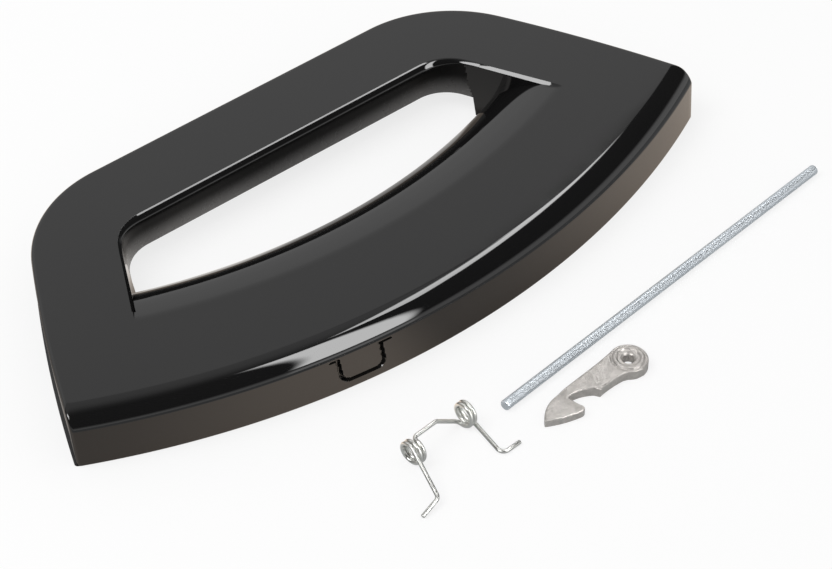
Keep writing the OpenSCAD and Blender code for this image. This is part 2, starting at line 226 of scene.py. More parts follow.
def finished(bm, name, materials, sharp=35):
    """Makes the piece from a mesh drawn in millimetres, with soft shading between its sharp edges."""
    bmesh.ops.scale(bm, vec=(0.001, 0.001, 0.001), verts=bm.verts)
    for face in bm.faces:
        face.smooth = True
    for edge in bm.edges:
        edge.smooth = len(edge.link_faces) == 2 and edge.calc_face_angle(0.0) < radians(sharp)
    mesh = bpy.data.meshes.new(name)
    bm.to_mesh(mesh)
    bm.free()
    piece = bpy.data.objects.new(name, mesh)
    bpy.context.collection.objects.link(piece)
    for material in materials:
        mesh.materials.append(material)
    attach(piece, "root")
    return piece


def new_material(name):
    """A material with its Principled shader and the coordinates of the piece."""
    material = bpy.data.materials.new(name)
    material.use_nodes = True
    nodes, links = material.node_tree.nodes, material.node_tree.links
    coords = nodes.new("ShaderNodeTexCoord")
    return material, nodes, links, nodes["Principled BSDF"], coords.outputs["Object"]


def noise_on(nodes, links, coords, scale, detail=3.0, stretch=(1, 1, 1), turn=0.0):
    """Noise on the piece's own coordinates, stretched along one of its directions if asked."""
    mapping = nodes.new("ShaderNodeMapping")
    mapping.vector_type = "TEXTURE"
    mapping.inputs["Rotation"].default_value = (0, 0, turn)
    mapping.inputs["Scale"].default_value = stretch
    links.new(coords, mapping.inputs["Vector"])
    texture = nodes.new("ShaderNodeTexNoise")
    texture.inputs["Scale"].default_value = scale
    texture.inputs["Detail"].default_value = detail
    links.new(mapping.outputs["Vector"], texture.inputs["Vector"])
    return texture.outputs["Fac"]


def spread(nodes, links, value, low, high):
    """Turns a 0 to 1 value into the range from low to high."""
    node = nodes.new("ShaderNodeMapRange")
    node.inputs["From Min"].default_value = 0.3
    node.inputs["From Max"].default_value = 0.7
    node.inputs["To Min"].default_value = low
    node.inputs["To Max"].default_value = high
    links.new(value, node.inputs["Value"])
    return node.outputs["Result"]


def blend_colors(nodes, links, value, one, other):
    """A colour between two, by a value."""
    node = nodes.new("ShaderNodeMix")
    node.data_type = "RGBA"
    node.inputs["A"].default_value = (*one, 1)
    node.inputs["B"].default_value = (*other, 1)
    links.new(value, node.inputs["Factor"])
    return node.outputs["Result"]


def bumped(nodes, links, shader, value, strength, distance):
    """Adds a fine relief to the shader."""
    node = nodes.new("ShaderNodeBump")
    node.inputs["Strength"].default_value = strength
    node.inputs["Distance"].default_value = distance
    links.new(value, node.inputs["Height"])
    links.new(node.outputs["Normal"], shader.inputs["Normal"])


gloss_black, nodes, links, shader, coords = new_material("gloss_black_moulding")
shader.inputs["IOR"].default_value = 1.5
flow = noise_on(nodes, links, coords, 14.0, 2.0)
links.new(blend_colors(nodes, links, flow, (0.0052, 0.0052, 0.0056), (0.0075, 0.0073, 0.0072)), shader.inputs["Base Color"])
links.new(spread(nodes, links, noise_on(nodes, links, coords, 55.0, 4.0), 0.02, 0.04), shader.inputs["Roughness"])
bumped(nodes, links, shader, noise_on(nodes, links, coords, 90.0, 1.0), 0.03, 0.0002)

matt_black, nodes, links, shader, coords = new_material("moulded_black_inside")
shader.inputs["IOR"].default_value = 1.5
links.new(blend_colors(nodes, links, noise_on(nodes, links, coords, 30.0), (0.009, 0.009, 0.0095), (0.014, 0.0138, 0.0135)),
          shader.inputs["Base Color"])
links.new(spread(nodes, links, noise_on(nodes, links, coords, 220.0), 0.38, 0.52), shader.inputs["Roughness"])
bumped(nodes, links, shader, noise_on(nodes, links, coords, 1800.0, 2.0), 0.12, 0.0001)

satin_black, nodes, links, shader, coords = new_material("satin_black_skirt")
height = nodes.new("ShaderNodeSeparateXYZ")
links.new(coords, height.inputs["Vector"])
# Painted light: the skirt goes from near black at the top to grey at its foot, with more specular there,
# a painted reflection of the lit floor.
painted_light_low = nodes.new("ShaderNodeMapRange")
painted_light_low.interpolation_type = "SMOOTHSTEP"
painted_light_low.inputs["From Min"].default_value, painted_light_low.inputs["From Max"].default_value = 0.0045, 0.0125
painted_light_low.inputs["To Min"].default_value, painted_light_low.inputs["To Max"].default_value = 1.0, 0.0
links.new(height.outputs["Z"], painted_light_low.inputs["Value"])
links.new(blend_colors(nodes, links, painted_light_low.outputs["Result"], (0.0065, 0.0063, 0.0062), (0.10, 0.098, 0.097)), shader.inputs["Base Color"])
painted_sheen_low = nodes.new("ShaderNodeMapRange")
painted_sheen_low.inputs["To Min"].default_value, painted_sheen_low.inputs["To Max"].default_value = 0.06, 0.7
links.new(painted_light_low.outputs["Result"], painted_sheen_low.inputs["Value"])
links.new(painted_sheen_low.outputs["Result"], shader.inputs["Specular IOR Level"])
links.new(spread(nodes, links, noise_on(nodes, links, coords, 240.0), 0.24, 0.32), shader.inputs["Roughness"])
bumped(nodes, links, shader, noise_on(nodes, links, coords, 1500.0, 2.0), 0.06, 0.0001)

shell = bmesh.new()
foot_r = 0.3
edge_r = 0.55
side_edge, undercut = 1.1, 0.9
corner_r = 1.2


def wall_in(z):
    """How far the leaning front wall has come in at height z."""
    return wall_lean * z / crease_z


outer_foot = ring(shell, outline(foot_r, foot_r, corner_r - foot_r), 0.0)
skin = [outer_foot]
levels = []
for turn in (30, 60, 90):
    z = foot_r * (1 - cos(radians(turn)))
    inset = foot_r * (1 - sin(radians(turn)))
    levels.append((z, wall_in(z) + inset, inset))
levels += [(0.3 + 11.6 * i / 44, wall_in(0.3 + 11.6 * i / 44), 0.0) for i in range(1, 45)]
levels += [(12.08, wall_in(12.08), 0.0)]
crease_turn = asin((crease_z - band_z) / band_r)
for i in range(9):
    turn = crease_turn + radians(1.2) + (radians(66) - crease_turn) * i / 9
    levels.append((band_z + band_r * sin(turn), rim_r - flat_r - band_r * cos(turn), 0.0))
for i in range(9):
    z = top_z - edge_r * (1 - sin(radians(90 * i / 8)))
    turn = asin(min((z - band_z) / band_r, 1.0))
    levels.append((z, rim_r - flat_r - band_r * cos(turn), edge_r * (1 - cos(radians(90 * i / 8)))))
for z, front_in, side_in in levels:
    if z > 1.0:
        side_in = side_edge * (1 - sqrt(1 - max(0.0, (z - top_z) / side_edge + 1) ** 2))
    side_in += undercut * max(0.0, 1 - z / (top_z - side_edge))
    skin.append(loft(shell, skin[-1], outline(front_in, side_in, corner_r), z))
top_rim = loft(shell, skin[-1], outline(rim_r - flat_r + 0.5, side_edge + 0.5, corner_r), top_z)

tab_turn, tab_w, tab_z, tab_r, groove_w, groove_t, groove_run = radians(-8.02), 13.4, 3.1, 2.7, 0.6, 1.5, 2.6
groove_top = crease_z - groove_w / 2


def groove_depth(s, z):
    """Depth of the groove round the tab at s along the wall and height z."""
    s -= 0.14 * (groove_top - z)
    dx, dz = abs(s) - (tab_w / 2 - tab_r), tab_z + tab_r - z
    if z > groove_top + 0.3:
        return 0.0
    line = abs(max(dx, dz, 0) - tab_r) if min(dx, dz) <= 0 else abs(hypot(dx, dz) - tab_r)
    if tab_w / 2 <= abs(s) <= tab_w / 2 + groove_run + (1.0 if s > 0 else 0.0):
        line = min(line, abs(z - groove_top + 0.35))
    return groove_t * (1 - min(max((line - 0.18) / 0.42, 0.0), 1.0) ** 2) if line < 0.6 else 0.0


for verts in skin[1:46]:
    for v in verts[:len(arc_turns)]:
        flat = v.co.xy - rim_c
        depth_here = groove_depth((atan2(flat.x, -flat.y) - tab_turn) * rim_r, v.co.z)
        v.co.xy = rim_c + flat * (1 - depth_here / rim_r)

chamfer, break_r = 0.7, 0.22
run_out = break_r * tan(radians(22.5))
side_levels = []
for turn in (90, 75, 60, 45):
    turn = radians(turn)
    side_levels.append((top_z - break_r * (1 - sin(turn)), chamfer + run_out - break_r * cos(turn)))
for turn in (45, 30, 15, 0):
    turn = radians(turn)
    side_levels.append((top_z - chamfer - run_out + break_r * sin(turn), break_r * (1 - cos(turn))))
last_turn = asin((side_levels[-1][0] - top_z) / roll_h + 1)
side_levels += [(top_z - roll_h + roll_h * sin(last_turn * (1 - i / 24)), 0.0) for i in range(1, 25)]
side_levels = [level for level in side_levels if level[0] > skirt_z + 0.4] + [(skirt_z + 0.3, 0.0), (skirt_z, 0.0)]

facet_w, fillet_r, back_in = 0.5, 2.5, 0.3
facet_turn = radians(25)
facet_drop = facet_w * tan(radians(17))
back_levels = [(top_z - facet_drop * f, back_in + facet_w * f) for f in (0, 0.08, 0.92, 1)]
for turn in (36, 47, 58, 69, 80, 90):
    turn = radians(turn)
    back_levels.append((top_z - facet_drop - fillet_r * (cos(facet_turn) - cos(turn)),
                        back_in + facet_w + fillet_r * (sin(turn) - sin(facet_turn))))
wall_z, wall_back = back_levels[-1]
rest = len(side_levels) - len(back_levels)
foot_back = hole_draft * (1 - skirt_z / top_z)
back_levels += [(wall_z + (skirt_z - wall_z) * i / rest, wall_back + (foot_back - wall_back) * i / rest) for i in range(1, rest + 1)]


def roll_at(z):
    """Radius of the grip bar's rolled edge at height z, from the middle of its arc."""
    return roll_r - roll_w * sqrt(1 - ((max(z, skirt_z) - top_z) / roll_h + 1) ** 2)


def back_share(i):
    """Share of the straight side's section at point i of the hole's loop: it grows round the corner."""
    i = min(i, count - i + roll_steps)
    f = min(max((i - roll_steps - flank_steps) / corner_steps, 0.0), 1.0)
    return f * f * (3 - 2 * f)


def hole_ring(side, back, wall_r):
    """Loop round the hole that turns from the flanks' section to the straight side's section."""
    z, grow = side
    back_z, back_y_in = back
    one = hole_loop(z, grow, wall_r)
    other = hole_loop(back_z, hole_draft * (1 - back_z / top_z) - back_y_in, wall_r)
    points = []
    for i, (p, q) in enumerate(zip(one, other)):
        share = back_share(i)
        q_z = back_z
        if back_z > top_z - facet_drop - 0.01:
            q_z = top_z - (top_z - back_z) * tan(radians(16.2 - 0.107 * q.x)) / tan(radians(17))
        flat = p.lerp(q, share)
        points.append(Vector((flat.x, flat.y, z + (q_z - z) * share)))
    return points


count = roll_steps + 2 * (flank_steps + corner_steps + straight_steps)
hole_rim = ring(shell, hole_ring((top_z, chamfer + run_out + 0.4), (top_z, back_in - 0.05), roll_r + 0.4), top_z)
inner = hole_rim
for side, back in zip(side_levels, back_levels):
    inner = loft(shell, inner, hole_ring(side, back, roll_at(side[0])))
bmesh.ops.triangle_fill(shell, use_beauty=True, use_dissolve=False, normal=(0, 0, 1),
                        edges=edges_along(shell, top_rim) + edges_along(shell, hole_rim))

right_step = roll_steps + flank_steps
order = list(range(count - flank_steps, count)) + list(range(right_step + 1))
low_levels = [4.7, 3.2, 1.6, 0.0]


def hang_skirt(bm, upper, grow, walls, finish):
    """Carries the skirt's low part down to the foot and returns the loop of its lower edge."""
    chain = [upper[i] for i in order]
    ends = [[], []]
    for z, wall_r in walls:
        loop = hole_loop(z, grow, wall_r)
        chain = loft(bm, chain, [loop[i] for i in order], z, closed=False, finish=finish)
        ends[0].append(chain[0])
        ends[1].append(chain[-1])
    rest = [upper[i] for i in range(right_step, count - flank_steps + 1)]
    return chain + ends[1][-2::-1] + rest + ends[0][:-1]


inner_edge = hang_skirt(shell, inner, 0.0, [(z, roll_at(z)) for z in low_levels], 0)

roof_z = top_z - wall_t
inner_band_r = band_r - wall_t
inner_crease = radians(24.4)
inside = loft(shell, outer_foot, outline(wall_t, wall_t, 0.2), 0.0, finish=1)
inside_levels = [(0.4, wall_t + wall_in(0.4)), (6.0, wall_t + wall_in(6.0))]
for i in range(8):
    turn = inner_crease + (pi / 2 - inner_crease) * i / 7
    inside_levels.append((band_z + inner_band_r * sin(turn), rim_r - flat_r - inner_band_r * cos(turn)))
for z, front_in in inside_levels:
    inside = loft(shell, inside, outline(front_in, wall_t, 0.2), z, finish=1)


def roll_back_at(z):
    """Radius of the hidden side of the rolled edge at height z."""
    return roll_r - (roll_w - skirt_t) * sqrt(1 - ((max(z, skirt_z) - top_z + roll_h) / (roll_h - skirt_t)) ** 2)


roof_hole = ring(shell, hole_loop(roof_z, skirt_t, roll_back_at(roof_z)), roof_z)
outer = roof_hole
for z in (13.0, 11.5, 9.8, 8.0, skirt_z + 0.25, skirt_z):
    outer = loft(shell, outer, hole_loop(z, skirt_t, roll_back_at(z)), z, finish=1)
outer_edge = hang_skirt(shell, outer, skirt_t, [(z, roll_back_at(z)) for z in low_levels], 1)
roof = bmesh.ops.triangle_fill(shell, use_beauty=True, use_dissolve=False, normal=(0, 0, 1),
                               edges=edges_along(shell, inside) + edges_along(shell, roof_hole))
for face in (g for g in roof["geom"] if isinstance(g, bmesh.types.BMFace)):
    face.material_index = 1
loft(shell, inner_edge, [v.co.copy() for v in outer_edge], finish=1)
bmesh.ops.remove_doubles(shell, verts=shell.verts, dist=0.0005)
bmesh.ops.recalc_face_normals(shell, faces=shell.faces)
slot_w, pin_z = 4.0, 7.0
pin_y = back_y - 11.2
slot = bmesh.new()
bmesh.ops.create_circle(slot, cap_ends=True, segments=48, radius=slot_w / 2, matrix=Matrix.Rotation(pi / 2, 4, "Y"))
for v in slot.verts:
    v.co.z = pin_z + v.co.z if v.co.z > -0.01 else -1.0
    v.co.x, v.co.y = 68.0, pin_y + v.co.y
grown = bmesh.ops.extrude_face_region(slot, geom=slot.faces[:])["geom"]
bmesh.ops.translate(slot, vec=(20, 0, 0), verts=[g for g in grown if isinstance(g, bmesh.types.BMVert)])
bmesh.ops.recalc_face_normals(slot, faces=slot.faces)
shell = cut(shell, slot)

edge_start = hole_loop(top_z, 0.0, roll_r)[roll_steps + flank_steps]
across, down = Vector((cos(lean), sin(lean))), Vector((sin(lean), -cos(lean)))
edge_end = first_crossing([edge_start + down * i for i in range(60)], lambda p: (p - rim_c).length > 214.0)[1][0]
for side in (1, -1):
    prism = bmesh.new()
    for place, w in ((edge_start, 0.72), (edge_end, 1.0)):
        for out, z in ((w + 0.5, top_z + 0.5), (-0.1, top_z - w - 0.1), (-0.1, top_z + 0.5)):
            p = place + across * out
            prism.verts.new((side * p.x, p.y, z))
    bmesh.ops.convex_hull(prism, input=prism.verts)
    bmesh.ops.recalc_face_normals(prism, faces=prism.faces)
    shell = cut(shell, prism)
for face in shell.faces:
    center = face.calc_center_median()
    inside_hole = abs(center.x) < 62 and 40 < center.y < 84
    if face.material_index == 0 and inside_hole and face.normal.y < -0.2 and abs(face.normal.z) < 0.4:
        face.material_index = 2
print("shell open edges", sum(len(e.link_faces) != 2 for e in shell.edges), "volume", shell.calc_volume(signed=True))
handle_shell = finished(shell, "handle_shell", [gloss_black, matt_black, satin_black])
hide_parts("handle")


# The ribs under the top: eleven radial plates of the same moulding, deep in the grip bar and only
# shallow behind the finger hole, where the pin, the hook and its spring need the room.
rib_t, rib_z, rib_turn, rib_pairs = 1.4, 8.0, radians(4.5), 5
shallow_y = hole_y - 1.0
shallow_z = 13.1
sunk = 0.3


def plate(bm, points, thickness, bevel=0.0):
    """A plate of this thickness from a closed outline in the XZ plane, centred on y = 0."""
    verts = [bm.verts.new((p[0], -thickness / 2, p[1])) for p in points]
    loop = [bm.edges.new(pair) for pair in zip(verts, verts[1:] + verts[:1])]
    made = bmesh.ops.triangle_fill(bm, use_beauty=True, use_dissolve=True, edges=loop)["geom"]
    faces = [g for g in made if isinstance(g, bmesh.types.BMFace)]
    grown = bmesh.ops.extrude_face_region(bm, geom=faces)["geom"]
    moved = [g for g in grown if isinstance(g, bmesh.types.BMVert)]
    bmesh.ops.translate(bm, vec=(0, thickness, 0), verts=moved)
    bmesh.ops.recalc_face_normals(bm, faces=bm.faces)
    return verts + moved


def rib_section(turn):
    """Outline of the rib's deep part: radius from the rim's centre, and height."""
    front = [(rim_r - wall_t + sunk - wall_in(z), z) for z in (rib_z, 11.4)]
    r = inner_band_r + sunk
    front += [(flat_r + r * cos(t), band_z + r * sin(t)) for t in [radians(30 + 10 * i) for i in range(7)]]
    if abs(turn) < 4.5 * rib_turn:
        heights = [roof_z + sunk - (roof_z + sunk - rib_z) * i / 8 for i in range(9)]
        offset = rim_c.y - roll_c.y
        backs = [roll_back_at(z) - sunk for z in heights]
        return front + [(offset * cos(turn) + sqrt(r ** 2 - (offset * sin(turn)) ** 2), z) for r, z in zip(backs, heights)]
    back = (rim_c.y - shallow_y) / cos(turn)
    return front + [(back, roof_z + sunk), (back, rib_z)]


ribs = bmesh.new()
for i in range(-rib_pairs, rib_pairs + 1):
    turn = i * rib_turn
    start = shallow_y - 0.5 if abs(i) == rib_pairs else hole_y + skirt_t - 1.0
    end = back_y - wall_t + (sunk if abs(i) < rib_pairs else -1.0)
    far, near = (rim_c.y - start) / cos(turn), (rim_c.y - end) / cos(turn)
    shallow = [(far, shallow_z), (far, roof_z + sunk), (near, roof_z + sunk), (near, shallow_z)]
    for section in (rib_section(turn), shallow):
        verts = plate(ribs, section, rib_t)
        place = Matrix.Translation((rim_c.x, rim_c.y, 0)) @ Matrix.Rotation(turn - pi / 2, 4, "Z")
        bmesh.ops.transform(ribs, matrix=place, verts=verts)
grip_ribs = finished(ribs, "grip_ribs", [matt_black])
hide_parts("handle")


# The four ears that hold the pin: two by the hook's bay and two at the ends. Each is a plate with
# a round foot and a bore, joined to the underside of the top.
ear_r, ear_t, bore_r = 4.8, 5.0, 1.55
ear_places = [side * x for side in (-1, 1) for x in (17.5, 64.0)]

ears = bmesh.new()
for x in ear_places:
    foot = [(ear_r * cos(radians(t)), ear_r * sin(radians(t))) for t in range(-180, 1, 6)]
    outer = foot + [(ear_r, roof_z + sunk - pin_z), (-ear_r, roof_z + sunk - pin_z)]
    verts = [ears.verts.new((px, 0, pz)) for px, pz in outer]
    loop = [ears.edges.new(pair) for pair in zip(verts, verts[1:] + verts[:1])]
    bore = bmesh.ops.create_circle(ears, segments=48, radius=bore_r, matrix=Matrix.Rotation(pi / 2, 4, "X"))["verts"]
    loop += list({e for v in bore for e in v.link_edges})
    made = bmesh.ops.triangle_fill(ears, use_beauty=True, use_dissolve=True, edges=loop)["geom"]
    grown = bmesh.ops.extrude_face_region(ears, geom=[g for g in made if isinstance(g, bmesh.types.BMFace)])["geom"]
    moved = [g for g in grown if isinstance(g, bmesh.types.BMVert)]
    bmesh.ops.translate(ears, vec=(0, ear_t, 0), verts=moved)
    place = Matrix.Translation((x + ear_t / 2, pin_y, pin_z)) @ Matrix.Rotation(pi / 2, 4, "Z")
    bmesh.ops.transform(ears, matrix=place, verts=verts + bore + moved)
bmesh.ops.recalc_face_normals(ears, faces=ears.faces)
pin_ears = finished(ears, "pin_ears", [matt_black])
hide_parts("handle")


# The pivot pin: drawn steel rod, zinc-plated, with a chamfer at both ends. It lies loose in front
# of the handle.
origin_y = corner_line_y
pin_place = Vector((54.3, origin_y - 49.0, 1.5))
pin_turn = radians(6.2)
pin_r, pin_l = 1.5, 133.0

zinc_plate, nodes, links, shader, coords = new_material("bright_zinc_plate")
shader.inputs["Metallic"].default_value = 0.55
lengthwise = noise_on(nodes, links, coords, 1800.0, 2.0, (60, 1, 1), pin_turn)
cloud = noise_on(nodes, links, coords, 260.0, 4.0, (4, 1, 1), pin_turn)
links.new(blend_colors(nodes, links, cloud, (0.46, 0.50, 0.54), (0.66, 0.70, 0.73)), shader.inputs["Base Color"])
links.new(spread(nodes, links, lengthwise, 0.34, 0.42), shader.inputs["Roughness"])

rod = bmesh.new()
bmesh.ops.create_cone(rod, cap_ends=True, segments=64, radius1=pin_r, radius2=pin_r, depth=pin_l,
                      matrix=Matrix.Rotation(pi / 2, 4, "Y"))
rims = [e for e in rod.edges if abs(e.verts[0].co.x - e.verts[1].co.x) < 0.01]
bmesh.ops.bevel(rod, geom=rims, offset=0.4, segments=3, profile=0.5, affect="EDGES", clamp_overlap=True, material=-1)
for i in range(1, 80):
    bmesh.ops.bisect_plane(rod, geom=rod.verts[:] + rod.edges[:] + rod.faces[:], dist=0.0001,
                           plane_co=(pin_l * (i / 80 - 0.5), 0, 0), plane_no=(1, 0, 0))
bmesh.ops.transform(rod, matrix=Matrix.Translation(pin_place) @ Matrix.Rotation(pin_turn, 4, "Z"), verts=rod.verts)
pivot_pin = finished(rod, "pivot_pin_rod", [zinc_plate])
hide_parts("pivot_pin")


# The catch spring: one length of spring-steel wire. Its middle line is two coils, the bridge
# between them, and a leg with a foot at each end; a round section follows that line.
spring_place = Vector((-32.7, origin_y - 54.2, 0.0))
spring_turn = radians(5)
wire_r, coil_r, coil_z = 0.6, 3.15, 3.75
coil_step, coil_gap, leg_l, foot_l, leg_fall = 1.26, 17.0, 15.0, 6.6, 18.7

spring_steel, nodes, links, shader, coords = new_material("spring_steel_wire")
shader.inputs["Metallic"].default_value = 1.0
links.new(blend_colors(nodes, links, noise_on(nodes, links, coords, 260.0, 4.0), (0.60, 0.60, 0.575), (0.74, 0.74, 0.71)),
          shader.inputs["Base Color"])
links.new(spread(nodes, links, noise_on(nodes, links, coords, 300.0), 0.30, 0.36), shader.inputs["Roughness"])


def bend(a, b, c, r, steps=10):
    """Points of an arc of radius r that rounds the corner at b."""
    one, two = (b - a).normalized(), (c - b).normalized()
    turn = one.angle(two)
    side = (two - one.dot(two) * one).normalized()
    start = b - r * tan(turn / 2) * one
    return [start + r * (sin(turn * i / steps) * one + (1 - cos(turn * i / steps)) * side) for i in range(steps + 1)]


def coil(x, angle, sweep):
    """Points of a coil from x and the given angle on, in degrees."""
    steps = round(sweep / 8)
    turns = [(i / steps, radians(angle - sweep * i / steps)) for i in range(steps + 1)]
    return [Vector((x + coil_step * sweep / 360 * f, coil_r * cos(t), coil_z + coil_r * sin(t))) for f, t in turns]


coil_top = coil_z + coil_r
near_x = -coil_gap / 2 - coil_step * (720 + leg_fall) / 360
fall = radians(leg_fall)
near_start = Vector((near_x, -coil_r * sin(fall), coil_z + coil_r * cos(fall)))
near_corner = Vector((near_x - 4.4, -leg_l, near_start.z - (leg_l + near_start.y) * tan(fall)))
near_foot = Vector((near_corner.x - foot_l, -leg_l - 0.8, wire_r))
leave = Vector((-coil_gap / 2, 1.44, coil_top))
crest = Vector((0.0, 1.44, coil_top))
elbow = Vector((coil_gap / 2, 1.44, wire_r))
far_x = coil_gap / 2 + 2 * coil_step
far_exit = Vector((far_x, -2.64, wire_r))
far_corner = Vector((far_x - 2.8, -leg_l, wire_r))
far_foot = Vector((far_corner.x + foot_l, -leg_l - 0.2, wire_r))
first_turn, second_turn = Vector((leave.x, 0, coil_top)), Vector((elbow.x, 0, wire_r))
wire_line = [near_foot] + bend(near_foot, near_corner, near_start, 1.8)
wire_line += coil(near_x, 90 + leg_fall, 720 + leg_fall)
wire_line += [p for p in bend(first_turn, leave, crest, 1.44) if p.y > 0.01]
wire_line += bend(leave, crest, elbow, 1.8, 6)
wire_line += [p for p in bend(crest, elbow, second_turn, 1.44) if p.y > 0.01]
wire_line += coil(elbow.x, -90, 720) + bend(Vector((far_x, 0, wire_r)), far_exit, far_corner, 1.8, 3)
wire_line += bend(far_exit, far_corner, far_foot, 1.8) + [far_foot]

wire = bmesh.new()
sides = 20
ways = [(b - a).normalized() for a, b in zip(wire_line[:1] + wire_line[:-1], wire_line[1:] + wire_line[-1:])]
across = ways[0].cross(Vector((0, 0, 1))).normalized()
section = bmesh.ops.create_circle(wire, cap_ends=False, segments=sides, radius=wire_r)["verts"]
for i, (center, way) in enumerate(zip(wire_line, ways)):
    across = (across - across.dot(way) * way).normalized()
    if i:
        edges = edges_along(wire, section)
        made = bmesh.ops.extrude_edge_only(wire, edges=edges)["geom"]
        old = {v: k for k, v in enumerate(section)}
        for v in [g for g in made if isinstance(g, bmesh.types.BMVert)]:
            section[old[next(e.other_vert(v) for e in v.link_edges if e.other_vert(v) in old)]] = v
    for k, v in enumerate(section):
        t = 2 * pi * k / sides
        v.co = center + wire_r * (cos(t) * across + sin(t) * way.cross(across))
bmesh.ops.holes_fill(wire, edges=wire.edges, sides=sides)
rims = [e for e in wire.edges if any(len(f.verts) == sides for f in e.link_faces)]
bmesh.ops.bevel(wire, geom=rims, offset=0.14, segments=2, profile=0.5, affect="EDGES", clamp_overlap=True, material=-1)
bmesh.ops.recalc_face_normals(wire, faces=wire.faces)
bmesh.ops.transform(wire, matrix=Matrix.Translation(spring_place) @ Matrix.Rotation(spring_turn, 4, "Z"), verts=wire.verts)
catch_spring = finished(wire, "catch_spring_wire", [spring_steel], 50)
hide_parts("catch_spring")


# The catch hook: a flat zinc casting. Its plates and the boss are melted into one skin and
# smoothed, so that every edge has a casting's radius; then the countersunk bore is cut.
hook_place = Vector((24.9, origin_y - 65.2, 0.0))
hook_turn = radians(186)
hook_t, nose_t, boss_rise = 3.0, 2.4, 0.4
nose_r, hook_l, hook_back = 11.2, 32.8, 5.0
nose_c = Vector((hook_l - sqrt(nose_r ** 2 - 6.9 ** 2), nose_r - hook_back))
barb_u, barb_drop, notch_w, floor_v, belly_v = 21.9, 4.0, 7.4, -2.0, 2.2

cast_zinc, nodes, links, shader, coords = new_material("cast_zinc")
shader.inputs["Metallic"].default_value = 0.55
shader.inputs["Specular IOR Level"].default_value = 0.5
links.new(blend_colors(nodes, links, noise_on(nodes, links, coords, 900.0, 3.0), (0.33, 0.315, 0.30), (0.58, 0.55, 0.52)),
          shader.inputs["Base Color"])
links.new(spread(nodes, links, noise_on(nodes, links, coords, 500.0, 4.0), 0.30, 0.48), shader.inputs["Roughness"])
bumped(nodes, links, shader, noise_on(nodes, links, coords, 900.0, 3.0), 0.5, 0.00016)


def slab(bm, points, low, high, edge):
    """A slab from a closed outline in plan, with its upper edges bevelled."""
    verts = ring(bm, points, low)
    made = bmesh.ops.triangle_fill(bm, use_beauty=True, use_dissolve=True, edges=edges_along(bm, verts))["geom"]
    grown = bmesh.ops.extrude_face_region(bm, geom=[g for g in made if isinstance(g, bmesh.types.BMFace)])["geom"]
    top = [g for g in grown if isinstance(g, bmesh.types.BMVert)]
    bmesh.ops.translate(bm, vec=(0, 0, high - low), verts=top)
    bmesh.ops.recalc_face_normals(bm, faces=bm.faces)
    rim = {e for v in top for e in v.link_edges if e.other_vert(v) in top and e.calc_face_angle(0.0) > 1.0}
    bmesh.ops.bevel(bm, geom=list(rim), offset=edge, segments=2, profile=0.5, affect="EDGES", clamp_overlap=True, material=-1)


def bow(start, end, rise, steps=12):
    """Points from start to end on a shallow arc that rises to the left of the way."""
    across = Vector((start.y - end.y, end.x - start.x)).normalized()
    return [start.lerp(end, i / steps) + across * rise * 4 * (i / steps) * (1 - i / steps) for i in range(steps)]


tip = Vector((hook_l, -0.7))
nose_start = atan2(-hook_back - nose_c.y, 0.0)
nose_end = atan2(tip.y - nose_c.y, tip.x - nose_c.x)
boss_turns = [radians(t) for t in range(90, 271, 10)]
back = [5.5 * Vector((cos(t), sin(t))) for t in boss_turns]
back_edge = [Vector((0.9 * i, -hook_back - 0.5 * (1 - i / 10) ** 2)) for i in range(1, 10)]
nose = [nose_c + nose_r * Vector((cos(nose_start + (nose_end - nose_start) * i / 16),
                                  sin(nose_start + (nose_end - nose_start) * i / 16))) for i in range(17)]
barb_tip = Vector((barb_u + 0.9, barb_drop))
under = bow(tip, barb_tip, -0.5)
barb_wall = [barb_tip, Vector((barb_u - 0.1, barb_drop - 0.25)), Vector((barb_u - 0.4, barb_drop - 0.9)),
             Vector((barb_u, 1.0)), Vector((barb_u + 0.15, floor_v + 0.3)), Vector((barb_u - 0.3, floor_v - 0.05))]
notch = bow(Vector((barb_u - 1.4, floor_v)), Vector((barb_u - notch_w, belly_v - 0.9)), 0.5)
belly = bow(Vector((barb_u - notch_w - 0.3, belly_v + 0.25)), Vector((4.6, 3.1)), 0.35)
arm_outline = back + back_edge + nose + under[1:] + barb_wall + notch + belly

def disc(r):
    return [Vector((r * cos(radians(t)), r * sin(radians(t)))) for t in range(0, 360, 6)]


def easing(value, start, end):
    """Goes softly from 0 to 1 as value goes from start to end."""
    t = min(max((value - start) / (end - start), 0.0), 1.0)
    return t * t * (3 - 2 * t)


casting = bmesh.new()
slab(casting, arm_outline, 0.0, hook_t, 0.5)
slab(casting, disc(5.4), 0.0, hook_t, 0.3)
slab(casting, disc(4.3), 0.0, hook_t + boss_rise, 0.15)
casting = changed(casting, "REMESH", mode="VOXEL", voxel_size=0.16)
for _ in range(3):
    bmesh.ops.smooth_vert(casting, verts=casting.verts, factor=0.5, use_axis_x=True, use_axis_y=True, use_axis_z=True)
for v in casting.verts:
    away = v.co.xy.length
    upper = easing(v.co.z, 0.8, 2.2)
    v.co.z -= upper * (hook_t - nose_t) * easing(v.co.x, barb_u - 2.0, barb_u + 2.5)
    v.co.z -= upper * boss_rise * (1 - easing(away, 3.0, 3.5))
    v.co.z -= upper * 0.12 * easing(away, 4.3, 4.6) * (1 - easing(away, 4.7, 5.1))
    v.co.z = v.co.z if v.co.z > 0.3 else 0.0
bore = bmesh.new()
bmesh.ops.create_cone(bore, cap_ends=True, segments=64, radius1=1.6, radius2=1.6, depth=10)
casting = cut(casting, bore)
sink = bmesh.new()
bmesh.ops.create_cone(sink, cap_ends=True, segments=64, radius1=1.3, radius2=3.3, depth=2.0,
                      matrix=Matrix.Translation((0, 0, hook_t + 0.1)))
casting = cut(casting, sink)
bmesh.ops.transform(casting, matrix=Matrix.Translation(hook_place) @ Matrix.Rotation(hook_turn, 4, "Z"), verts=casting.verts)
catch_hook = finished(casting, "catch_hook_casting", [cast_zinc], 60)
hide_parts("catch_hook")
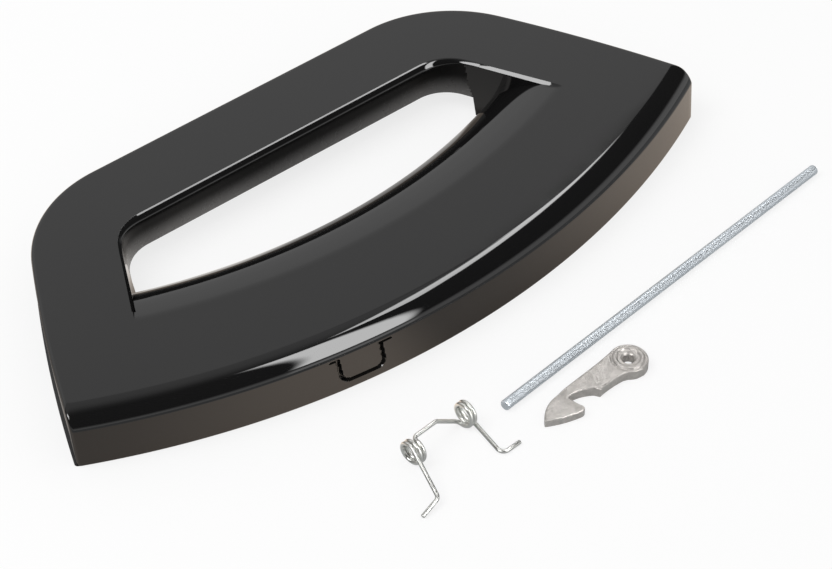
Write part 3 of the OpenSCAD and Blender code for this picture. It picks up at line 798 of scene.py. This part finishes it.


# The paper-white sweep that the pieces lie on. It keeps their soft shadows. Reflections see painted
# shade and light on it: darker under the handle and less so under the finger hole, lighter, warm
# brown and lighter or darker along x just in front of the front wall, and dimmer further off.
floor_mesh = bmesh.new()
bmesh.ops.create_grid(floor_mesh, x_segments=1, y_segments=1, size=6.0)
floor_data = bpy.data.meshes.new("sweep")
floor_mesh.to_mesh(floor_data)
floor_mesh.free()
floor = bpy.data.objects.new("sweep", floor_data)
floor.location = (0, 0, -0.00005)
bpy.context.collection.objects.link(floor)

paper = bpy.data.materials.new("white_paper")
paper.use_nodes = True
nodes, links = paper.node_tree.nodes, paper.node_tree.links
nodes.remove(nodes["Principled BSDF"])
path = nodes.new("ShaderNodeLightPath")
seen = nodes.new("ShaderNodeMath")
seen.operation = "MAXIMUM"
links.new(path.outputs["Is Camera Ray"], seen.inputs[0])
links.new(path.outputs["Is Glossy Ray"], seen.inputs[1])
share = nodes.new("ShaderNodeMath")
share.operation = "MULTIPLY"
share.inputs[1].default_value = 0.78
links.new(seen.outputs["Value"], share.inputs[0])
place = nodes.new("ShaderNodeSeparateXYZ")
links.new(nodes.new("ShaderNodeTexCoord").outputs["Object"], place.inputs["Vector"])


def ramp(nodes, links, value, start, end, low, high):
    """A smooth change from low to high as value goes from start to end."""
    node = nodes.new("ShaderNodeMapRange")
    node.interpolation_type = "SMOOTHSTEP"
    for key, number in (("From Min", start), ("From Max", end), ("To Min", low), ("To Max", high)):
        node.inputs[key].default_value = number
    links.new(value, node.inputs["Value"])
    return node.outputs["Result"]


def joined(nodes, links, operation, one, other):
    """A sum, product or the like of two values."""
    node = nodes.new("ShaderNodeMath")
    node.operation = operation
    for socket, value in zip(node.inputs, (one, other)):
        if isinstance(value, (int, float)):
            socket.default_value = value
        else:
            links.new(value, socket)
    return node.outputs["Value"]


x, y = place.outputs["X"], place.outputs["Y"]
from_rim = nodes.new("ShaderNodeVectorMath")
from_rim.operation = "DISTANCE"
from_rim.inputs[1].default_value = (0.0, 0.2487, 0.0)
links.new(nodes.new("ShaderNodeTexCoord").outputs["Object"], from_rim.inputs[0])
radius = from_rim.outputs["Value"]
# Painted shade for reflections: the floor under the handle is darker, less so under the finger hole.
painted_shade_under_handle = joined(nodes, links, "MULTIPLY", ramp(nodes, links, radius, 0.2475, 0.2505, 1.0, 0.0), ramp(nodes, links, y, 0.104, 0.112, 1.0, 0.0))
opening = joined(nodes, links, "MULTIPLY", ramp(nodes, links, y, 0.048, 0.053, 0.0, 1.0), ramp(nodes, links, y, 0.078, 0.084, 1.0, 0.0))
opening = joined(nodes, links, "MULTIPLY", opening, ramp(nodes, links, joined(nodes, links, "ABSOLUTE", x, 0.0), 0.054, 0.060, 1.0, 0.0))
painted_shade_under_handle = joined(nodes, links, "MULTIPLY", painted_shade_under_handle, joined(nodes, links, "SUBTRACT", 1.0, joined(nodes, links, "MULTIPLY", opening, 0.7)))
painted_shade_under_handle = joined(nodes, links, "MULTIPLY", painted_shade_under_handle, ramp(nodes, links, joined(nodes, links, "ABSOLUTE", x, 0.0), 0.118, 0.128, 1.0, 0.0))
# Painted light and shade for reflections: lighter and darker along x in front of the front wall,
# and dimmer further off.
painted_reflection_level = joined(nodes, links, "MULTIPLY", ramp(nodes, links, x, -0.12, -0.045, 0.72, 1.5), ramp(nodes, links, x, -0.03, 0.0, 1.0, 0.33))
painted_reflection_level = joined(nodes, links, "ADD", painted_reflection_level, ramp(nodes, links, x, 0.01, 0.09, 0.0, 0.6))
near = ramp(nodes, links, radius, 0.265, 0.280, 1.0, 0.0)
far = joined(nodes, links, "MULTIPLY", joined(nodes, links, "SUBTRACT", 1.0, near), 0.42)
painted_reflection_level = joined(nodes, links, "ADD", joined(nodes, links, "MULTIPLY", painted_reflection_level, near), far)
painted_darkening = joined(nodes, links, "SUBTRACT", 1.0, joined(nodes, links, "MULTIPLY", painted_shade_under_handle, 0.8))
painted_reflection_glow = joined(nodes, links, "MULTIPLY", painted_reflection_level, painted_darkening)
matt = nodes.new("ShaderNodeBsdfDiffuse")
matt.inputs["Color"].default_value = (0.9, 0.9, 0.9, 1)
tint = nodes.new("ShaderNodeMix")
tint.data_type = "RGBA"
tint.inputs["A"].default_value = (1, 1, 1, 1)
# A painted warm brown tint that reflections see near the handle.
painted_warm_tint = joined(nodes, links, "MULTIPLY", near, joined(nodes, links, "SUBTRACT", 1.0, joined(nodes, links, "MULTIPLY", opening, 0.6)))
links.new(blend_colors(nodes, links, painted_warm_tint, (0.94, 0.98, 1.0), (1.0, 0.84, 0.70)), tint.inputs["B"])
links.new(path.outputs["Is Glossy Ray"], tint.inputs["Factor"])
glow = nodes.new("ShaderNodeEmission")
links.new(tint.outputs["Result"], glow.inputs["Color"])
strength = nodes.new("ShaderNodeMix")
strength.data_type = "FLOAT"
strength.inputs["A"].default_value = 1.0
links.new(path.outputs["Is Glossy Ray"], strength.inputs["Factor"])
links.new(painted_reflection_glow, strength.inputs["B"])
links.new(strength.outputs["Result"], glow.inputs["Strength"])
both = nodes.new("ShaderNodeMixShader")
links.new(share.outputs["Value"], both.inputs["Fac"])
links.new(matt.outputs["BSDF"], both.inputs[1])
links.new(glow.outputs["Emission"], both.inputs[2])
links.new(both.outputs["Shader"], nodes["Material Output"].inputs["Surface"])
floor_data.materials.append(paper)


# The studio: white for the camera, and for gloss a white backdrop on the far side, a dark room
# above and behind the camera, a strip lamp over the backdrop and a soft box in front.
world = bpy.data.worlds.new("studio")
bpy.context.scene.world = world
world.use_nodes = True
nodes, links = world.node_tree.nodes, world.node_tree.links
sky = nodes["Background"]
coords = nodes.new("ShaderNodeTexCoord").outputs["Generated"]


def along(direction):
    """How far a ray of the world points along a direction."""
    node = nodes.new("ShaderNodeVectorMath")
    node.operation = "DOT_PRODUCT"
    node.inputs[1].default_value = direction
    links.new(coords, node.inputs[0])
    return node.outputs["Value"]


def step(value, start, end, low=0.0, high=1.0):
    """A smooth step from low to high as value goes from start to end."""
    node = nodes.new("ShaderNodeMapRange")
    node.interpolation_type = "SMOOTHSTEP"
    for key, number in (("From Min", start), ("From Max", end), ("To Min", low), ("To Max", high)):
        node.inputs[key].default_value = number
    links.new(value, node.inputs["Value"])
    return node.outputs["Result"]


def combine(operation, one, other):
    node = nodes.new("ShaderNodeMath")
    node.operation = operation
    for socket, value in zip(node.inputs, (one, other)):
        if isinstance(value, (int, float)):
            socket.default_value = value
        else:
            links.new(value, socket)
    return node.outputs["Value"]


def seen_at(azimuth, elevation):
    """The direction towards a point of the room, from its angles in degrees."""
    a, e = radians(azimuth), radians(elevation)
    return Vector((cos(e) * cos(a), cos(e) * sin(a), sin(e)))


def lamp(corners, soft, strength):
    """A lamp with straight edges as a reflection sees it, from the angles of its corners."""
    for one, other in zip(corners, corners[1:] + corners[:1]):
        edge = seen_at(*one).cross(seen_at(*other)).normalized()
        strength = combine("MULTIPLY", step(along(edge), -soft / 2, soft / 2), strength)
    return strength


def product(*values):
    """All the values multiplied."""
    total = values[0]
    for value in values[1:]:
        total = combine("MULTIPLY", total, value)
    return total


height = along((0.0, 0.0, 1.0))
backdrop = along((0.1829, 0.9831, 0.0))
panel = product(step(height, -0.03, 0.05), step(backdrop, 0.622, 0.630), step(along((0.0, 0.6, -0.8)), -0.29, -0.04, 0.72, 0.95),
                step(height, 0.10, 0.55, 0.65, 1.0))
overhead = product(step(height, 0.62, 0.74), step(along((0.860, -0.354, -0.367)), -0.01, 0.01, 1.0, 0.0),
                   step(along((0.0, 1.0, 0.0)), -0.35, 0.35), step(backdrop, 0.622, 0.630, 1.0, 0.0), 0.55)
horizon = product(step(along((-0.12, 0.0, 0.993)), 0.12, 0.30, 1.0, 0.0), step(along((0.2, -0.98, 0.0)), -0.1, 0.3))
low_glow = lamp([(-86, 10), (-87, 1), (-69, 1), (-68, 9)], 0.03, 1.1)
front_strip = lamp([(-84.8, 17.2), (-68.6, 15.4), (-34.4, 68.8), (-47.5, 73.7)], 0.05, 11.4)
far_strip = product(lamp([(-5.9, 70.4), (-3.4, 64.5), (48.7, 35.4), (50.7, 37.1)], 0.02, 9.5),
                    step(backdrop, 0.618, 0.624, 1.0, 0.0))
side_box = lamp([(168, 36), (-164, 36), (-160, 58), (164, 58)], 0.05, 12.0)
gloss = 0.05
for part in (panel, overhead, horizon, low_glow, front_strip, far_strip, side_box):
    gloss = combine("ADD", part, gloss)
path = nodes.new("ShaderNodeLightPath")
shiny = combine("MAXIMUM", path.outputs["Is Glossy Ray"], path.outputs["Is Transmission Ray"])
light = nodes.new("ShaderNodeMix")
light.data_type = "FLOAT"
light.inputs["A"].default_value = 0.72
links.new(shiny, light.inputs["Factor"])
links.new(gloss, light.inputs["B"])
final = nodes.new("ShaderNodeMix")
final.data_type = "FLOAT"
final.inputs["B"].default_value = 1.0
links.new(path.outputs["Is Camera Ray"], final.inputs["Factor"])
links.new(light.outputs["Result"], final.inputs["A"])
links.new(final.outputs["Result"], sky.inputs["Strength"])
sky.inputs["Color"].default_value = (1, 1, 1, 1)

soft_box = bpy.data.lights.new("soft_box", "AREA")
soft_box.energy = 9.0
soft_box.size = 0.9
key = bpy.data.objects.new("soft_box", soft_box)
key.location = (-0.7, 0.35, 1.3)
key.rotation_euler = (Vector((0.0, 0.0, 0.0)) - key.location).to_track_quat("-Z", "Y").to_euler()
key.visible_glossy = False
bpy.context.collection.objects.link(key)


# The camera, where the photograph was taken from.
lens = bpy.data.cameras.new("camera")
lens.lens = 122.69
lens.sensor_width = 36.0
lens.clip_start = 0.01
camera = bpy.data.objects.new("camera", lens)
camera.location = (-0.36659, -0.41957, 0.54561)
camera.rotation_euler = (Vector((0.00123, 0.02138, 0.0)) - camera.location).to_track_quat("-Z", "Y").to_euler()
bpy.context.collection.objects.link(camera)
bpy.context.scene.camera = camera
bpy.context.scene.view_settings.view_transform = "Standard"
